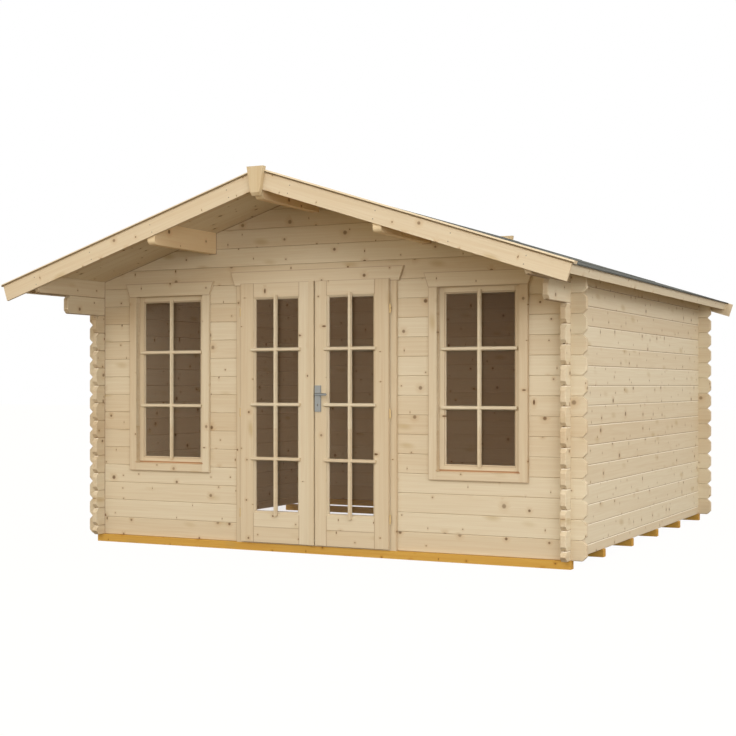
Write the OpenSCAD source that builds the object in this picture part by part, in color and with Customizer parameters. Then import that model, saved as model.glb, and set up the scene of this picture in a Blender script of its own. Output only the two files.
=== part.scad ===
// Summer house of interlocking spruce logs under a felted saddle roof.
// Walls and roof are laid out from the front wall: x = 0 on the centre line, y = 0 on the front
// wall's outer face, z = 0 on top of the bearers. set_down() then moves every piece to the part's
// own frame, with the origin under the middle of the whole house and +Z up.

/* [Plan] */
// Width over the outer faces of the side walls
wall_w = 3800; // [3400:10:4600]
// Depth over the outer faces of the front and back walls
wall_d = 3800; // [2600:10:5200]

/* [Logs] */
// Visible height of one course of logs
log_pitch = 135.5; // [125:0.5:145]
// Thickness of a log, which is the thickness of the wall
log_t = 40; // [34:1:48]
// Fewest whole courses in the front and back walls up to the eaves
log_count = 14; // [14:1:15]
// Length of log that runs on past the crossing wall
stub = 107; // [80:1:130]
// Cut across the upper and lower corners of a log's end, at 45 degrees
end_cut = 31; // [15:1:34]
// Bevel on the upright edges of a log's end
end_bevel = 5; // [2:0.5:8]
// Bevel along the log's edges that makes the V between courses
joint_bevel = 4; // [2:0.5:6]
// Width of the tongue on top of a log
tongue_w = 14; // [10:1:18]
// Height of the tongue on top of a log
tongue_h = 8; // [5:1:12]
// Play of the tongue in the groove above it
tongue_play = 0.5; // [0.3:0.1:1]
// Play on each side of a corner notch
notch_play = 0.3; // [0.2:0.1:1]
// How far the log under the wall plate reaches out in front of the wall
bracket_reach = 460; // [300:5:600]
// Height of the wall plate at its outer face, under the roof boards
wall_plate_h = 117; // [100:1:130]

/* [Bearers] */
// Number of bearers under the walls
bearer_count = 6; // [4:1:8]
// Width of a bearer
bearer_w = 60; // [45:1:95]
// Height of a bearer
bearer_h = 56; // [40:1:80]
// Length of bearer past the outer face of each side wall
bearer_past = 8; // [0:1:30]
// Front bearer's face ahead of the front wall's face
bearer_lead = 24; // [0:1:40]
// Back bearer's face short of the back wall's face
bearer_short = 14; // [0:1:40]

/* [Roof] */
// Slope of the roof in degrees
roof_pitch = 18; // [14:0.5:22]
// Front wall face to the front of the barge boards
front_over = 821; // [500:1:1000]
// Back wall face to the back of the barge boards
back_over = 160; // [140:1:400]
// Thickness of the roof boards
board_t = 18; // [16:1:25]
// Thickness of the roofing felt
felt_t = 5; // [3:0.5:8]
// Felt past the face of the eaves board
felt_past = 14; // [5:1:25]
// Side wall face to the top edge of the eaves board
eaves_reach = 213; // [170:1:260]
// Thickness of an eaves board
eaves_t = 18; // [16:1:28]
// Width of an eaves board, which hangs square to the slope
eaves_h = 60; // [50:1:90]
// Width of the felt laid over the ridge, on each slope
ridge_felt_w = 150; // [100:5:250]
// Thickness of the felt laid over the ridge
ridge_felt_t = 3; // [2:0.5:5]

/* [Barge boards] */
// Width of a barge board, square to the slope
barge_h = 113; // [100:1:145]
// Thickness of a barge board
barge_t = 20; // [16:1:28]
// Barge board past the outer face of the eaves board
barge_past = 55; // [30:1:80]
// Thickness of the cap strip on the front barge board
cap_t = 19; // [14:1:25]
// Bevel along the cap strip's outer top edge
cap_bevel = 10; // [4:1:12]
// Width of the cap strip
cap_w = 67; // [45:1:90]
// Cap strip in front of the barge board
cap_nose = 8; // [5:1:15]
// Cap strip past the lower end of the barge board
cap_past = 12; // [5:1:40]
// Height of the keystone board at the apex
keystone_h = 195; // [160:1:230]
// Width of the keystone along its top
keystone_top_w = 126; // [90:1:160]
// Width of the keystone along its foot
keystone_foot_w = 59; // [40:1:90]
// Thickness of the keystone
keystone_t = 40; // [20:1:45]
// Keystone top above the ridge of the cap strips
keystone_rise = 3; // [0:1:20]
// Height of the bevel along the keystone's foot
keystone_bevel = 20; // [10:1:30]

/* [Purlins] */
// Width of a purlin
purlin_w = 60; // [44:1:75]
// Height of a purlin at its taller side
purlin_h = 155; // [120:1:180]
// Centre line of the house to the middle of a side purlin
purlin_x = 870; // [700:1:1000]
// Radius of the round under a purlin's ends
purlin_round = 35; // [10:1:45]

/* [Casings] */
// Width of a casing board
trim_w = 62; // [50:1:80]
// Thickness of a casing board
trim_t = 20; // [14:1:22]
// Thickness of a casing board inside the house
inner_trim_t = 18; // [14:1:22]
// Height of the shaped head board
head_h = 100; // [70:1:115]
// How far each end of the head board leans out over its height
head_slant = 33; // [15:1:50]
// Head board past the casing at its lower edge, at the windows
head_past = 2; // [0:1:20]
// Head board past the casing at its lower edge, at the door
door_head_past = 18; // [0:1:30]
// Open joint between boards that meet in one plane
board_joint = 0.5; // [0.3:0.1:1]

/* [Windows] */
// Centre line of the house to the middle of a window
window_x = 1250; // [1120:1:1300]
// Height of the clear opening's sill above the bearers
window_z = 560; // [500:1:700]
// Clear width inside the window frame
window_w = 596; // [480:1:620]
// Clear height inside the window frame
window_h = 1271; // [900:1:1300]
// Thickness of the window frame
window_frame_t = 25; // [15:1:28]
// Height of the casing board under the window
apron_h = 55; // [40:1:70]
// Setback of the sash behind the wall's outer face
sash_set = 26; // [18:1:30]
// Thickness of the sash
sash_t = 30; // [26:1:36]
// Width of a sash stile
sash_stile = 40; // [30:1:50]
// Width of the sash's lower rail
sash_low_rail = 32; // [25:1:45]
// Width of the sash's upper rail
sash_top_rail = 38; // [25:1:45]
// Height of the step on the sill that carries the sash
sill_step = 12; // [6:1:20]
// Setback of that step behind the sash's face
sill_step_set = 6; // [3:1:10]

/* [Glazing] */
// Thickness of the glass
glass_t = 4; // [3:0.5:6]
// Width of a window's glazing bead seen from the front
sash_bead_w = 8; // [6:1:14]
// Width of a door's glazing bead seen from the front
door_bead_w = 15; // [9:1:18]
// Thickness of a bead at its thin edge
bead_edge = 4; // [3:0.5:6]
// Setback of a bead from the face of its frame
bead_set = 1.5; // [1:0.5:4]

/* [Door] */
// Half the width of the clear opening inside the door frame
door_half = 588; // [560:1:610]
// Height of the clear opening inside the door frame
door_clear_h = 1889; // [1800:1:1892]
// Thickness of the door frame
door_frame_t = 32; // [22:1:40]
// Height of the threshold
threshold_h = 23; // [15:1:35]
// Clearance of a leaf all round
leaf_play = 5; // [4:0.5:8]
// Lap of a leaf's outer edge over the casing
leaf_lap = 13; // [8:1:18]
// Thickness of the part of a leaf that laps over the casing
lap_t = 17; // [14:1:22]
// Gap behind the lap
lap_gap = 7; // [5:0.5:10]
// Thickness of a leaf behind its lap
core_t = 28; // [22:1:32]
// Height of a leaf's foot above the bearers
leaf_foot = 10; // [5:1:20]
// Gap between the two leaves
leaf_gap = 7; // [6:0.5:10]
// Centre line of the house to the middle of the gap between the leaves
meeting_x = 16.5; // [10:0.5:30]
// Width of an outer door stile
door_stile = 110; // [90:1:125]
// Middle of the doorway to the near edge of a leaf's glazed light
light_in = 112; // [104:1:130]
// Height of the top rail
top_rail = 105; // [80:1:140]
// Height of the lower board of the bottom rail
low_rail = 112; // [90:1:140]
// Height of the upper board of the bottom rail
mid_rail = 99.5; // [70:0.5:140]
// Setback of a leaf's glass behind its face
door_glass_set = 19; // [16:0.5:24]
// Width of the meeting strip on the left leaf
strip_w = 41; // [28:1:45]
// Thickness of the meeting strip
strip_t = 13; // [8:1:16]

/* [Hinges] */
// Diameter of a hinge barrel
barrel_d = 11; // [9:0.5:13]
// Height of one half of a hinge barrel
barrel_h = 32; // [24:1:45]
// Diameter of a hinge pin
pin_d = 6; // [5:0.5:7]
// Diameter of the shank that is driven into the wood
shank_d = 7; // [5:0.5:8]
// Length of shank in the wood
shank_l = 38; // [20:1:45]
// Running clearance at pins and shanks
pin_play = 0.2; // [0.1:0.05:0.4]
// Setback of the hinge axis behind the leaf's face
hinge_set = 8; // [6:0.5:10]
// Gap between a hinge barrel and the leaf's edge
barrel_gap = 1; // [0.5:0.5:2]
// Number of hinges on a leaf
hinge_count = 3; // [2:1:4]
// Leaf's end to the middle of the nearest hinge
hinge_end = 210; // [150:5:300]

/* [Handle] */
// Width of a handle plate
plate_w = 48; // [40:1:56]
// Height of a handle plate
plate_h = 188; // [150:1:220]
// Thickness of a handle plate
plate_t = 8; // [5:0.5:10]
// Height of the handle plate's middle above the bearers
plate_z = 1060; // [950:5:1150]
// Lever axis above the plate's middle
lever_up = 30; // [15:1:45]
// Plate's edge to the leaf's meeting edge
plate_set = 1; // [1:0.5:6]
// Diameter of the lever
lever_d = 17; // [13:0.5:20]
// Length of the lever from its axis
lever_l = 80; // [70:1:120]
// Length of the inner thumb lever from its axis
thumb_l = 30; // [20:1:45]
// Plate's face to the lever's axis line
lever_out = 34; // [30:1:55]
// Diameter of the spindle
spindle_d = 9; // [7:0.5:11]
// Keyhole below the plate's middle
keyhole_down = 42; // [20:1:50]
// Diameter of the keyhole's round end
keyhole_d = 9; // [7:0.5:11]

/* [Hidden] */
$fn = 48;
far = 9000;
slip = 0.3;
spruce = "#dcc9a2";
shaded_spruce = "#cdb68c";
treated = "#cf9f4c";
felt_grey = "#4b555c";
clear_glass = [0.55, 0.62, 0.62, 0.35];
steel = "#9aa2a4";

half_w = wall_w / 2;
slope = tan(roof_pitch);
plumb = 1 / cos(roof_pitch);
window_head_z = window_z + window_h;
head_end = window_x + window_w / 2 + trim_w + head_past + head_slant;
head_need = window_head_z + board_joint + head_h - wall_plate_h - (half_w - head_end) * slope;
courses = max(log_count, ceil(door_clear_h / log_pitch), ceil(head_need / log_pitch + 0.5));
deck_apex = (courses - 0.5) * log_pitch + wall_plate_h + half_w * slope;
felt_n = board_t + felt_t;
cap_apex = deck_apex + (felt_n + cap_t) * plumb;
gable_top = ceil(deck_apex / log_pitch) - 1;
ridge_foot = deck_apex - purlin_w / 2 * slope - purlin_h;
purlin_foot = deck_apex - (purlin_x - purlin_w / 2) * slope - purlin_h;

eaves_s = (half_w + eaves_reach - board_t * sin(roof_pitch)) * plumb;
barge_s = eaves_s + barge_past;
cap_s = barge_s + cap_past;
roof_front = -front_over + barge_t;
roof_back = wall_d + back_over - barge_t;
house_front = -front_over - keystone_t;
house_back = wall_d + back_over + keystone_t;
middle_y = (house_front + house_back) / 2;

sash_w = window_w - 2 * slip;
sash_z0 = window_z + sill_step;
sash_z1 = window_head_z - slip;
sash_light_w = sash_w - 2 * sash_stile;
sash_light_z = sash_z0 + sash_low_rail;
sash_light_h = sash_z1 - sash_top_rail - sash_light_z;
sash_glass_y = sash_set + (sash_t - glass_t) / 2;

leaf_face = -trim_t - lap_gap - lap_t;
lap_back = leaf_face + lap_t;
leaf_back = lap_back + core_t;
leaf_out = door_half + leaf_lap;
core_out = door_half - leaf_play;
leaf_top = door_clear_h + leaf_lap;
core_top = door_clear_h - leaf_play;
core_foot = threshold_h + leaf_play;
light_out = leaf_out - door_stile;
door_light_w = light_out - light_in;
light_z0 = leaf_foot + low_rail + board_joint + mid_rail;
light_z1 = leaf_top - top_rail;
door_glass_y = leaf_face + door_glass_set;
left_meet = leaf_gap / 2 - meeting_x;
right_meet = leaf_gap / 2 + meeting_x;

hinge_x = leaf_out + barrel_gap + barrel_d / 2;
hinge_y = leaf_face + hinge_set;
hinge_span = (leaf_top - leaf_foot - 2 * hinge_end) / (hinge_count - 1);
hinge_zs = [for (i = [0:hinge_count - 1]) leaf_foot + hinge_end + i * hinge_span];

plate_x = right_meet + plate_set + plate_w / 2;
lever_z = plate_z + lever_up;

// Underside of the roof boards above a point at distance x from the centre line
function deck_z(x) = deck_apex - abs(x) * slope;

// Cross-section of a log, standing on y = 0, with its tongue on top and its groove below
function log_section(h, groove, tongue) =
    let (half = log_t / 2, b = joint_bevel, tw = tongue_w / 2, gw = tw + tongue_play)
    concat(
        [[-half, b], [-half + b, 0]],
        groove ? [[-gw, 0], [-gw, tongue_h + tongue_play], [gw, tongue_h + tongue_play], [gw, 0]] : [],
        [[half - b, 0], [half, b], [half, h - b], [half - b, h]],
        tongue ? [[tw, h], [tw - tongue_play, h + tongue_h], [-tw + tongue_play, h + tongue_h], [-tw, h]]
               : [],
        [[-half + b, h], [-half, h - b]]
    );

// Side outline of a log from a to b, with 45 degree cuts at the lower and upper corners of its ends
function log_outline(a, b, h, low, high, rise) = [
    [a + low, 0], [b - low, 0], [b, low], [b, h - high], [b - high - rise, h + rise],
    [a + high + rise, h + rise], [a, h - high], [a, low]
];

// Top outline of a log from a to b, with the upright edges of its ends bevelled
function log_plan(a, b) = [
    [a + end_bevel, 0], [b - end_bevel, 0], [b, end_bevel], [b, log_t - end_bevel],
    [b - end_bevel, log_t], [a + end_bevel, log_t], [a, log_t - end_bevel], [a, end_bevel]
];

module set_down() {
    translate([0, -middle_y, bearer_h]) children();
}

// Stretches an outline drawn in x and z from y0 to y1
module along_y(y0, y1) {
    translate([0, y1, 0]) rotate([90, 0, 0]) linear_extrude(y1 - y0) children();
}

// Stretches an outline drawn in y and z from x0 to x1
module along_x(x0, x1) {
    translate([x0, 0, 0]) rotate([90, 0, 90]) linear_extrude(x1 - x0) children();
}

module block(x, y, z) {
    translate([x[0], y[0], z[0]]) cube([x[1] - x[0], y[1] - y[0], z[1] - z[0]]);
}

module both_sides() {
    children();
    mirror([1, 0, 0]) children();
}

// A log with square ends, lying along x with its outer face on y = 0
module plain_log(a, b, h, groove, tongue) {
    along_x(a, b) translate([log_t / 2, 0]) polygon(log_section(h, groove, tongue));
}

// A log whose ends show: cut across their corners and bevelled
module shaped_log(a, b, h, groove, tongue, high = end_cut) {
    rise = tongue ? tongue_h : 0;
    intersection() {
        plain_log(a, b, h, groove, tongue);
        along_y(-1, log_t + 1) polygon(log_outline(a, b, h, end_cut, high, rise));
        translate([0, 0, -1]) linear_extrude(h + rise + 2) polygon(log_plan(a, b));
    }
}

// Everything above the underside of the roof boards
module above_deck() {
    along_y(-far, far) polygon([
        [-far, deck_z(far)], [0, deck_apex], [far, deck_z(far)], [far, far], [-far, far]
    ]);
}

// Quarter-height notches that lock a log of the front or back wall to the side walls
module end_wall_notches(z) {
    both_sides() {
        across = [half_w - log_t - notch_play, half_w + notch_play];
        block(across, [-1, log_t + 1], [z - 1, z + log_pitch / 4]);
        block(across, [-1, log_t + 1], [z + log_pitch * 3 / 4, z + log_pitch + tongue_h + 1]);
    }
}

// The same notches in a log of a side wall, under it and over it where a log crosses there
module side_wall_notches(z, h, under, over) {
    across = [half_w - log_t - 1, half_w + 1];
    for (y = [0, wall_d - log_t]) {
        along = [y - notch_play, y + log_t + notch_play];
        if (under) block(across, along, [z - 1, z + log_pitch / 4]);
        if (over) block(across, along, [z + h - log_pitch / 4, z + h + tongue_h + 1]);
    }
}

// One course of a front or back wall, laid with its outer face on y = 0
module end_wall_course(k) {
    z = k * log_pitch;
    reach = half_w + stub;
    inside = half_w - log_t - notch_play;
    if (k < courses) {
        difference() {
            translate([0, 0, z]) shaped_log(-reach, reach, log_pitch, k > 0, true);
            end_wall_notches(z);
        }
    } else {
        difference() {
            translate([0, 0, z]) plain_log(-inside, inside, log_pitch, true, k < gable_top);
            above_deck();
            ridge_beam();
            both_sides() side_beam();
        }
    }
}

module end_wall(parity) {
    for (k = [parity:2:gable_top]) end_wall_course(k);
}

module wall_openings() {
    block([-door_half - door_frame_t - slip, door_half + door_frame_t + slip], [-1, log_t + 1],
          [-1, door_clear_h + door_frame_t + slip]);
    out = window_w / 2 + window_frame_t + slip;
    both_sides() block([window_x - out, window_x + out], [-1, log_t + 1],
          [window_z - window_frame_t - slip, window_head_z + window_frame_t + slip]);
}

module front_wall(parity) {
    difference() {
        end_wall(parity);
        wall_openings();
    }
}

module back_wall(parity) {
    translate([0, wall_d, 0]) mirror([0, 1, 0]) end_wall(parity);
}

// One course of the right-hand side wall: a half log at the foot, whole logs, then the wall plate
module side_wall_course(j) {
    z = j == 0 ? 0 : (j - 0.5) * log_pitch;
    is_plate = j == courses;
    h = j == 0 ? log_pitch / 2 : is_plate ? wall_plate_h + log_t * slope : log_pitch;
    front = is_plate ? -roof_front : j == courses - 1 ? bracket_reach : stub;
    difference() {
        translate([half_w, 0, z]) rotate([0, 0, 90])
            shaped_log(-front, wall_d + stub, h, j > 0, !is_plate, is_plate ? 0 : end_cut);
        side_wall_notches(z, h, j > 0, !is_plate);
        if (is_plate) above_deck();
    }
}

module side_wall(parity) {
    for (j = [parity:2:courses]) side_wall_course(j);
}

// A beam along the house under the roof boards, from x0 to x1 and down to the height z
module beam(x0, x1, z) {
    difference() {
        block([x0, x1], [roof_front, roof_back], [z, deck_apex]);
        above_deck();
    }
}

module ridge_beam() {
    beam(-purlin_w / 2, purlin_w / 2, ridge_foot);
}

module side_beam() {
    beam(purlin_x - purlin_w / 2, purlin_x + purlin_w / 2, purlin_foot);
}

// What is left of a purlin whose lower edge is at z once its ends are rounded underneath
module purlin_ends(z) {
    y0 = roof_front + purlin_round;
    y1 = roof_back - purlin_round;
    block([-far, far], [roof_front, roof_back], [z + purlin_round, far]);
    block([-far, far], [y0, y1], [z, far]);
    for (y = [y0, y1]) translate([-far, y, z + purlin_round]) rotate([0, 90, 0])
        cylinder(r = purlin_round, h = 2 * far);
}

// Outline drawn along the right-hand slope: s runs down it, n stands square on the boards' underside
module on_slope() {
    translate([0, deck_apex]) rotate(-roof_pitch) children();
}

// Layer of the right-hand slope between n0 and n1, mitred at the ridge and cut square at s
module layer(n0, n1, s) {
    on_slope() polygon([[-n0 * slope, n0], [s, n0], [s, n1], [-n1 * slope, n1]]);
}

module roof_boards() {
    along_y(roof_front, roof_back) layer(0, board_t, eaves_s - eaves_t);
}

module roof_felt() {
    along_y(roof_front, roof_back) layer(board_t, felt_n, eaves_s + felt_past);
}

module eaves_board() {
    along_y(roof_front, roof_back) on_slope()
        translate([eaves_s - eaves_t, board_t - eaves_h]) square([eaves_t, eaves_h]);
}

module barge_board() {
    translate([board_joint / 2, 0, 0]) along_y(-front_over, roof_front)
        layer(felt_n - barge_h, felt_n, barge_s);
}

// Board at the apex that covers the joint of the barge boards, grown by slip where a cut clears it
module keystone(grow = 0) {
    top = cap_apex + keystone_rise;
    foot = top - keystone_h;
    intersection() {
        along_y(house_front, -front_over + grow) polygon([
            [-keystone_foot_w / 2 - grow, foot], [keystone_foot_w / 2 + grow, foot],
            [keystone_top_w / 2 + grow, top], [-keystone_top_w / 2 - grow, top]
        ]);
        along_x(-far, far) polygon([
            [house_front, foot + keystone_bevel], [house_front + keystone_t / 3, foot], [0, foot],
            [0, top], [house_front, top]
        ]);
    }
}

// Cap strip of one front verge, lying on the slope with its outer top edge bevelled
module cap_strip() {
    y = -front_over - cap_nose;
    top = felt_n + cap_t;
    intersection() {
        along_y(y, y + cap_w) layer(felt_n, top, cap_s);
        translate([0, 0, deck_apex]) rotate([0, roof_pitch, 0]) along_x(-far, far) polygon([
            [y, 0], [y + cap_w, 0], [y + cap_w, top], [y + cap_bevel, top], [y, top - cap_bevel]
        ]);
    }
}

// Turns a piece of the front verge round to the back verge
module to_back() {
    translate([0, wall_d + back_over - front_over, 0]) mirror([0, 1, 0]) children();
}

// Shaped head board over an opening, leaning outwards at both ends
module head_board(x, half, z, past) {
    foot = half + trim_w + past;
    top = foot + head_slant;
    along_y(-trim_t, 0)
        polygon([[x - foot, z], [x + foot, z], [x + top, z + head_h], [x - top, z + head_h]]);
}

// A mitred glazing bead along x, thick at z = 0 and thin at its inner edge, against the glass at y_glass
module bead(l, w, y_face, y_glass, way) {
    half = l / 2 - slip;
    intersection() {
        along_x(-half, half) polygon([
            [y_face, slip], [y_glass, slip], [y_glass, w], [y_glass - way * bead_edge, w]
        ]);
        along_y(min(y_face, y_glass) - 1, max(y_face, y_glass) + 1) polygon([
            [-half, 0], [half, 0], [half - w, w], [-half + w, w]
        ]);
    }
}

// Beads round a light whose lower left corner is at x, z
module bead_ring(x, z, w, h, bead_w, y_face, y_glass, way) {
    translate([x + w / 2, 0, z]) bead(w, bead_w, y_face, y_glass, way);
    translate([x + w / 2, 0, z + h]) rotate([0, 180, 0]) bead(w, bead_w, y_face, y_glass, way);
    translate([x, 0, z + h / 2]) rotate([0, 90, 0]) bead(h, bead_w, y_face, y_glass, way);
    translate([x + w, 0, z + h / 2]) rotate([0, -90, 0]) bead(h, bead_w, y_face, y_glass, way);
}

// Beads outside and inside the glass of a frame that runs from y_face to y_back
module beads_both_faces(x, z, w, h, bead_w, y_face, y_back, y_glass) {
    bead_ring(x, z, w, h, bead_w, y_face + bead_set, y_glass, 1);
    bead_ring(x, z, w, h, bead_w, y_back - bead_set, y_glass + glass_t, -1);
}

module pane(x, z, w, h, y) {
    block([x + slip, x + w - slip], [y, y + glass_t], [z + slip, z + h - slip]);
}

// Four frame members of thickness t round a clear opening, the uprights running through
module frame_boards(x, z, w, h, t, y) {
    for (side = [-t, w]) block([x + side, x + side + t], y, [z - t, z + h + t]);
    for (level = [-t, h]) block([x + board_joint, x + w - board_joint], y, [z + level, z + level + t]);
}

module window_frame() {
    x0 = window_x - window_w / 2;
    frame_boards(x0, window_z, window_w, window_h, window_frame_t, [0, log_t]);
    block([x0 + board_joint, x0 + window_w - board_joint], [sash_set + sill_step_set, log_t],
          [window_z - 1, window_z + sill_step]);
}

module window_casing() {
    x0 = window_x - window_w / 2;
    x1 = window_x + window_w / 2;
    for (x = [x0 - trim_w, x1]) block([x, x + trim_w], [-trim_t, 0], [window_z - apron_h, window_head_z]);
    block([x0 + board_joint, x1 - board_joint], [-trim_t, 0], [window_z - apron_h, window_z]);
    head_board(window_x, window_w / 2, window_head_z + board_joint, head_past);
    frame_boards(x0, window_z, window_w, window_h, trim_w, [log_t, log_t + inner_trim_t]);
}

module window_sash() {
    x0 = window_x - sash_w / 2;
    depth = [sash_set, sash_set + sash_t];
    for (x = [x0, x0 + sash_w - sash_stile]) block([x, x + sash_stile], depth, [sash_z0, sash_z1]);
    rail_x = [x0 + sash_stile + board_joint, x0 + sash_w - sash_stile - board_joint];
    block(rail_x, depth, [sash_z0, sash_light_z]);
    block(rail_x, depth, [sash_z1 - sash_top_rail, sash_z1]);
}

module window_beads() {
    beads_both_faces(window_x - sash_light_w / 2, sash_light_z, sash_light_w, sash_light_h, sash_bead_w,
                     sash_set, sash_set + sash_t, sash_glass_y);
}

module window_pane() {
    pane(window_x - sash_light_w / 2, sash_light_z, sash_light_w, sash_light_h, sash_glass_y);
}

// Bores in the casing and frame that take the shanks of the hinge pins
module pin_bores() {
    both_sides() for (z = hinge_zs) translate([hinge_x, hinge_y, z - barrel_h / 2]) rotate([-90, 0, 0])
        cylinder(d = shank_d + 2 * pin_play, h = shank_l + 1 - hinge_y - trim_t);
}

// Lower half of a hinge with its pin, and the shank that runs back into the door frame
module hinge_pin() {
    translate([0, 0, -barrel_h]) cylinder(d = barrel_d, h = barrel_h);
    cylinder(d = pin_d, h = barrel_h);
    translate([0, 0, -barrel_h / 2]) rotate([-90, 0, 0])
        cylinder(d = shank_d, h = shank_l - hinge_y - trim_t);
}

// Upper half of a hinge, whose shank runs into the edge of the leaf
module hinge_sleeve() {
    difference() {
        union() {
            translate([0, 0, slip]) cylinder(d = barrel_d, h = barrel_h);
            translate([0, 0, slip + barrel_h / 2]) rotate([0, -90, 0])
                cylinder(d = shank_d, h = shank_l + barrel_d / 2);
        }
        translate([0, 0, -1]) cylinder(d = pin_d + 2 * pin_play, h = barrel_h + 2 + slip);
    }
}

module hinge_sleeves() {
    for (z = hinge_zs) translate([hinge_x, hinge_y, z]) hinge_sleeve();
}

// Part of a leaf's frame: the lap in front and the core behind it
module leaf_member(lap_x, core_x, lap_z, core_z) {
    block(lap_x, [leaf_face, lap_back], lap_z);
    block(core_x, [lap_back, leaf_back], core_z);
}

// Stiles and rails of the right-hand leaf, from its meeting edge to its hinged edge
module leaf_boards(meet) {
    up = [leaf_foot, leaf_top];
    core_up = [core_foot, core_top];
    rail_x = [light_in + board_joint, light_out - board_joint];
    low_top = leaf_foot + low_rail;
    difference() {
        leaf_member([light_out, leaf_out], [light_out, core_out], up, core_up);
        for (z = hinge_zs) translate([leaf_out + 1, hinge_y, z + slip + barrel_h / 2]) rotate([0, -90, 0])
            cylinder(d = shank_d + 2 * pin_play, h = shank_l + 2);
    }
    leaf_member([meet, light_in], [meet, light_in], up, core_up);
    leaf_member(rail_x, rail_x, [light_z1, leaf_top], [light_z1, core_top]);
    leaf_member(rail_x, rail_x, [leaf_foot, low_top], [core_foot, low_top]);
    block(rail_x, [leaf_face, leaf_back], [low_top + board_joint, light_z0]);
}

module leaf_beads() {
    beads_both_faces(light_in, light_z0, door_light_w, light_z1 - light_z0, door_bead_w,
                     leaf_face, leaf_back, door_glass_y);
}

module leaf_pane() {
    pane(light_in, light_z0, door_light_w, light_z1 - light_z0, door_glass_y);
}

// A handle plate with the lever's bearing and a keyhole, its back on y = 0
module handle_plate() {
    keyhole_z = plate_z - keyhole_down;
    difference() {
        block([plate_x - plate_w / 2, plate_x + plate_w / 2], [0, plate_t],
              [plate_z - plate_h / 2, plate_z + plate_h / 2]);
        translate([plate_x, -1, lever_z]) rotate([-90, 0, 0])
            cylinder(d = lever_d + 2 * pin_play, h = plate_t + 2);
        translate([plate_x, -1, keyhole_z]) rotate([-90, 0, 0]) cylinder(d = keyhole_d, h = plate_t + 2);
        block([plate_x - keyhole_d / 4, plate_x + keyhole_d / 4], [-1, plate_t + 1],
              [keyhole_z - keyhole_d * 1.4, keyhole_z]);
    }
}

// Neck and grip on one face of the leaf, with the neck starting at y = 0
module lever_half(l) {
    rotate([-90, 0, 0]) cylinder(d = lever_d - slip, h = plate_t + lever_out);
    translate([0, plate_t + lever_out, 0]) sphere(d = lever_d - slip);
    translate([0, plate_t + lever_out, 0]) rotate([0, 90, 0]) cylinder(d = lever_d - slip, h = l);
    translate([l, plate_t + lever_out, 0]) sphere(d = lever_d - slip);
}

module floor_bearers() {
    step = (wall_d + bearer_lead - bearer_short - bearer_w) / (bearer_count - 1);
    reach = half_w + bearer_past;
    color(treated) set_down() for (i = [0:bearer_count - 1])
        translate([0, i * step - bearer_lead, 0]) block([-reach, reach], [0, bearer_w], [-bearer_h, 0]);
}

module front_wall_even_logs() { color(spruce) set_down() front_wall(0); }
module front_wall_odd_logs() { color(spruce) set_down() front_wall(1); }
module back_wall_even_logs() { color(spruce) set_down() back_wall(0); }
module back_wall_odd_logs() { color(spruce) set_down() back_wall(1); }
module left_wall_even_logs() { color(spruce) set_down() mirror([1, 0, 0]) side_wall(0); }
module left_wall_odd_logs() { color(spruce) set_down() mirror([1, 0, 0]) side_wall(1); }
module right_wall_even_logs() { color(spruce) set_down() side_wall(0); }
module right_wall_odd_logs() { color(spruce) set_down() side_wall(1); }

module ridge_purlin() {
    color(shaded_spruce) set_down() intersection() {
        ridge_beam();
        purlin_ends(ridge_foot);
    }
}
module side_purlins() {
    color(shaded_spruce) set_down() both_sides() intersection() {
        side_beam();
        purlin_ends(purlin_foot);
    }
}
module left_roof_boards() { color(shaded_spruce) set_down() mirror([1, 0, 0]) roof_boards(); }
module right_roof_boards() { color(shaded_spruce) set_down() roof_boards(); }
module left_roof_felt() { color(felt_grey) set_down() mirror([1, 0, 0]) roof_felt(); }
module right_roof_felt() { color(felt_grey) set_down() roof_felt(); }
module ridge_felt() {
    inset = cap_w - cap_nose - barge_t + board_joint;
    color(felt_grey) set_down() both_sides() translate([board_joint / 2, 0, 0])
        along_y(roof_front + inset, roof_back) layer(felt_n, felt_n + ridge_felt_t, ridge_felt_w);
}
module eaves_boards() { color(spruce) set_down() both_sides() eaves_board(); }
module front_barge_boards() { color(spruce) set_down() both_sides() barge_board(); }
module back_barge_boards() { color(spruce) set_down() to_back() both_sides() barge_board(); }
module cap_strips() {
    color(spruce) set_down() difference() {
        both_sides() translate([board_joint / 2, 0, 0]) cap_strip();
        keystone(slip);
    }
}
module keystones() {
    color(spruce) set_down() {
        keystone();
        to_back() keystone();
    }
}

module left_window_frame() { color(spruce) set_down() mirror([1, 0, 0]) window_frame(); }
module right_window_frame() { color(spruce) set_down() window_frame(); }
module left_window_casing() { color(spruce) set_down() mirror([1, 0, 0]) window_casing(); }
module right_window_casing() { color(spruce) set_down() window_casing(); }
module left_window_sash() { color(spruce) set_down() mirror([1, 0, 0]) window_sash(); }
module right_window_sash() { color(spruce) set_down() window_sash(); }
module left_window_beads() { color(spruce) set_down() mirror([1, 0, 0]) window_beads(); }
module right_window_beads() { color(spruce) set_down() window_beads(); }
module left_window_glass() { color(clear_glass) set_down() mirror([1, 0, 0]) window_pane(); }
module right_window_glass() { color(clear_glass) set_down() window_pane(); }

module door_frame() {
    out = door_half + door_frame_t;
    color(spruce) set_down() difference() {
        union() {
            both_sides() block([door_half, out], [0, log_t], [0, door_clear_h]);
            block([-out, out], [0, log_t], [door_clear_h + board_joint, door_clear_h + door_frame_t]);
            block([-door_half + board_joint, door_half - board_joint], [-trim_t, log_t], [0, threshold_h]);
        }
        pin_bores();
    }
}

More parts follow.
